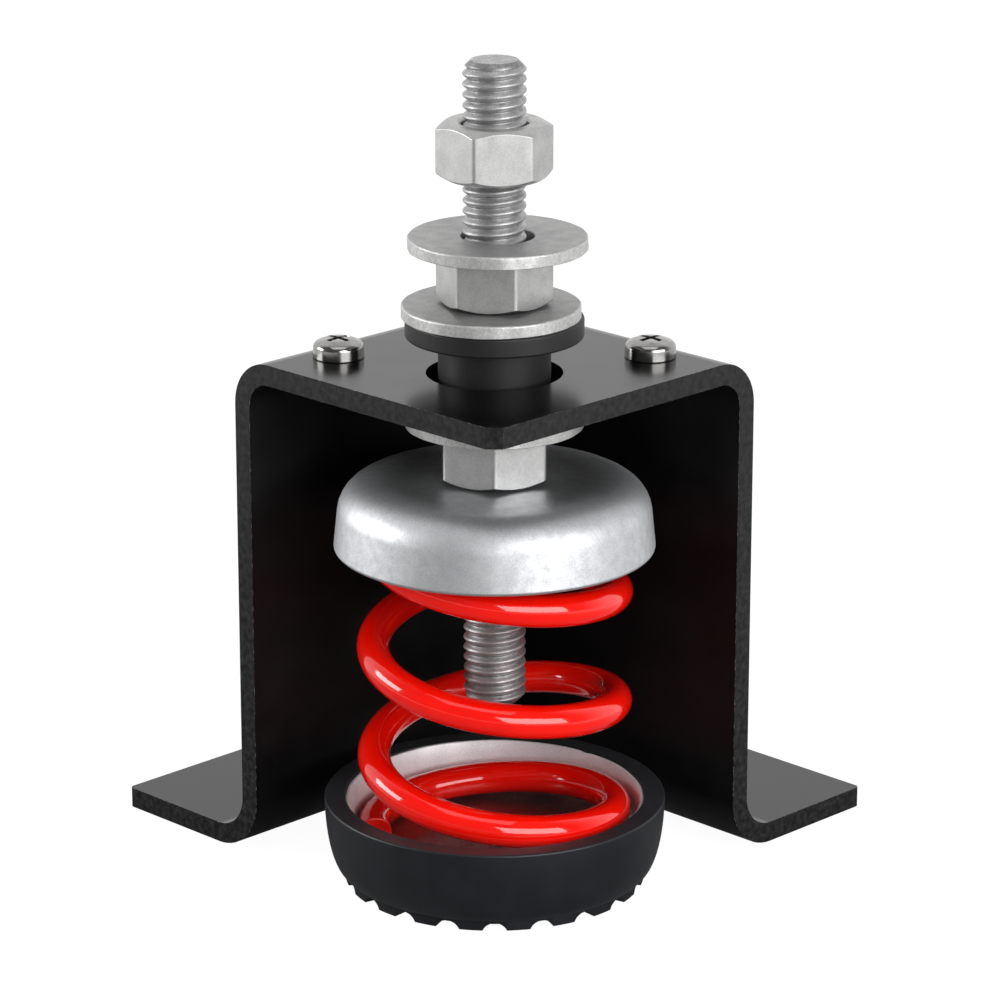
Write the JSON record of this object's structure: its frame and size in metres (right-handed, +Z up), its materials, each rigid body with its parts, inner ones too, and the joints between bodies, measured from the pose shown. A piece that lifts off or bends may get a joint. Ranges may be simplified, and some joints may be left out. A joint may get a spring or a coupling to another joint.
{
  "type": "spring vibration isolator",
  "caption": "Open coil spring mount: a red spring in a rubber cup carries a threaded stud, restrained by a bush in a folded steel housing with two feet.",
  "frame": {"origin": "on the stud's axis at floor level, under the rubber cup", "axes": "+Z up along the stud; +X and +Y out of the two housing walls, so the stud stands at the open corner"},
  "size_m": [0.1077, 0.1077, 0.1574],
  "materials": {
    "black_paint": "semi-gloss black paint on folded steel sheet",
    "red_paint": "glossy red coating on spring wire",
    "galvanised": "matte grey galvanised steel",
    "cap_zinc": "smooth zinc-plated pressed steel",
    "liner_zinc": "thin zinc-plated pressed steel",
    "bright_nickel": "bright nickel plating",
    "black_rubber": "satin black moulded rubber",
    "bush_rubber": "matte black moulded rubber"
  },
  "bodies": {
    "base": {"housing": "black_paint", "screw_left": "bright_nickel", "screw_right": "bright_nickel", "base_pad": "black_rubber", "base_liner": "liner_zinc", "spring": "red_paint"},
    "cap": {"spring_cap": "cap_zinc"},
    "stud": {"stud": "galvanised", "lower_nut": "galvanised", "lower_washer": "galvanised", "bush": "bush_rubber", "bush_washer": "galvanised", "levelling_nut": "galvanised", "clamp_washer": "galvanised"},
    "top_nut": {"top_nut": "galvanised"}
  },
  "joints": [
    {"name": "spring_compression", "type": "slide", "parent": "base", "child": "cap", "axis": [0, 0, 1], "range_m": [-0.007, 0], "stiffness_N_per_m": 52000, "deforming": ["spring"]},
    {"name": "stud_uplift", "type": "slide", "parent": "cap", "child": "stud", "axis": [0, 0, 1], "range_m": [0, 0.0036]},
    {"name": "top_nut_travel", "type": "slide", "parent": "stud", "child": "top_nut", "axis": [0, 0, 1], "range_m": [-0.0108, 0.0095]}
  ]
}
